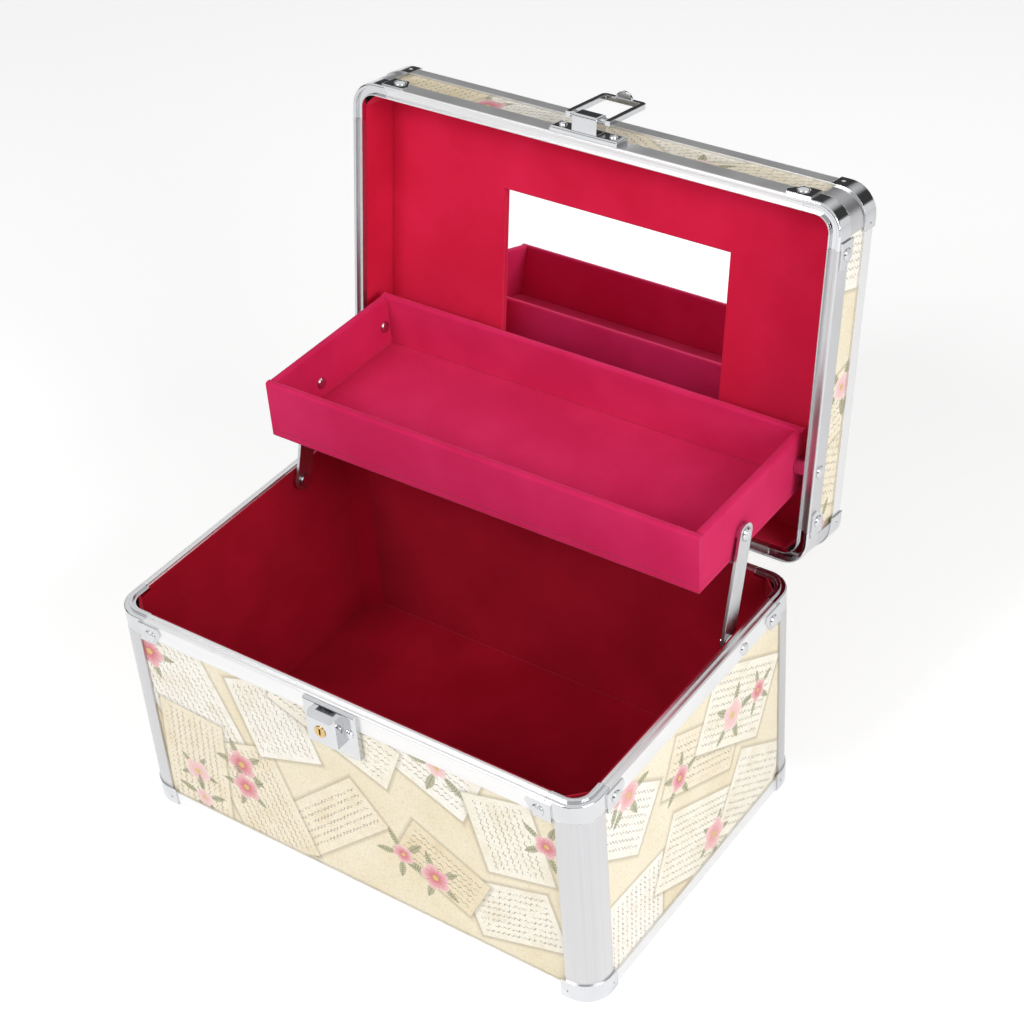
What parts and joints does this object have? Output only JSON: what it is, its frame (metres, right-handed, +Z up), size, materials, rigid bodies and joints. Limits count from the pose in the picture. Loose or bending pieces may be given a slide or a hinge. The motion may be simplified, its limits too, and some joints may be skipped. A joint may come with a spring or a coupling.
{
  "type": "makeup case",
  "caption": "Framed hard-sided makeup case with hinged lid, inside mirror, tray that rises on side arms as the lid opens, front lock and hasp, and folding top handle.",
  "frame": {"origin": "middle of the base's underside, on the surface it stands on", "axes": "+X to the right seen from the front, +Y to the back where the hinges are, +Z up"},
  "size_m": [0.2436, 0.2351, 0.2795],
  "materials": {
    "printed_cloth": "printed leather-cloth over board",
    "flock": "flocked lining over board",
    "aluminium": "satin anodised",
    "chrome": "polished plate",
    "mirror": "silvered glass",
    "brass": "polished",
    "grip_plastic": "moulded"
  },
  "bodies": {
    "base": {"base_front_board": "printed_cloth", "base_front_rail": "aluminium", "base_right_board": "printed_cloth", "base_right_rail": "aluminium", "base_rear_board": "printed_cloth", "base_rear_rail": "aluminium", "base_left_board": "printed_cloth", "base_left_rail": "aluminium", "base_bottom_board": "printed_cloth", "base_bottom_trims": "aluminium", "base_bottom_corners": "chrome", "base_corner_posts": "aluminium", "base_rim_corners": "chrome", "base_corner_rivets": "chrome", "base_wall_lining": "flock", "base_floor_lining": "flock", "base_hinge_leaves": "chrome", "base_hinge_rivets": "chrome", "hinge_pins": "chrome", "lock_plate": "chrome", "lock_case": "chrome", "lock_rivets": "chrome", "arm_pivot_left": "chrome", "arm_pivot_right": "chrome"},
    "lid": {"lid_front_board": "printed_cloth", "lid_front_rail": "aluminium", "lid_right_board": "printed_cloth", "lid_right_rail": "aluminium", "lid_rear_board": "printed_cloth", "lid_rear_rail": "aluminium", "lid_left_board": "printed_cloth", "lid_left_rail": "aluminium", "lid_top_board": "printed_cloth", "lid_top_trims": "aluminium", "lid_top_corners": "chrome", "lid_corner_posts": "aluminium", "lid_rim_corners": "chrome", "lid_corner_rivets": "chrome", "lid_wall_lining": "flock", "mirror_board": "flock", "mirror": "mirror", "lid_hinge_leaves": "chrome", "lid_hinge_rivets": "chrome", "hasp_plate": "chrome", "hasp_block": "chrome", "hasp_rivets": "chrome", "handle_brackets": "chrome", "handle_rivets": "chrome", "tray_pivots": "chrome"},
    "tray": {"tray_floor": "flock", "tray_front_wall": "flock", "tray_rear_wall": "flock", "tray_left_wall": "flock", "tray_right_wall": "flock", "tray_arm_rivets": "chrome"},
    "arm_left": {"tray_arm_left": "aluminium"},
    "arm_right": {"tray_arm_right": "aluminium"},
    "hasp_loop": {"hasp_loop": "chrome"},
    "handle": {"handle_grip": "grip_plastic"},
    "lock_plug": {"lock_plug": "brass"}
  },
  "joints": [
    {"name": "lid_hinge", "type": "hinge", "parent": "base", "child": "lid", "pos_m": [0, 0.084, 0.1075], "axis": [1, 0, 0], "range_deg": [0, 99]},
    {"name": "tray_tilt", "type": "hinge", "parent": "lid", "child": "tray", "pos_m": [0, 0.0985, 0.154], "axis": [1, 0, 0], "range_deg": [-99, 0]},
    {"name": "arm_left_swing", "type": "hinge", "parent": "base", "child": "arm_left", "pos_m": [-0.1119, 0.037, 0.104], "axis": [1, 0, 0], "range_deg": [0, 99]},
    {"name": "arm_right_swing", "type": "hinge", "parent": "base", "child": "arm_right", "pos_m": [0.1119, 0.037, 0.104], "axis": [1, 0, 0], "range_deg": [0, 99]},
    {"name": "hasp_swing", "type": "hinge", "parent": "lid", "child": "hasp_loop", "pos_m": [0, 0.11788, 0.27729], "axis": [1, 0, 0], "range_deg": [0, 180]},
    {"name": "handle_fold", "type": "hinge", "parent": "lid", "child": "handle", "pos_m": [0, 0.13596, 0.18432], "axis": [1, 0, 0], "range_deg": [0, 180]},
    {"name": "lock_turn", "type": "hinge", "parent": "base", "child": "lock_plug", "pos_m": [-0.001, -0.086, 0.1007], "axis": [0, 1, 0], "range_deg": [0, 90]}
  ],
  "couplings": [
    {"joint": "tray_tilt", "follows": "lid_hinge", "ratio": -1},
    {"joint": "arm_left_swing", "follows": "lid_hinge", "ratio": 1},
    {"joint": "arm_right_swing", "follows": "lid_hinge", "ratio": 1}
  ]
}
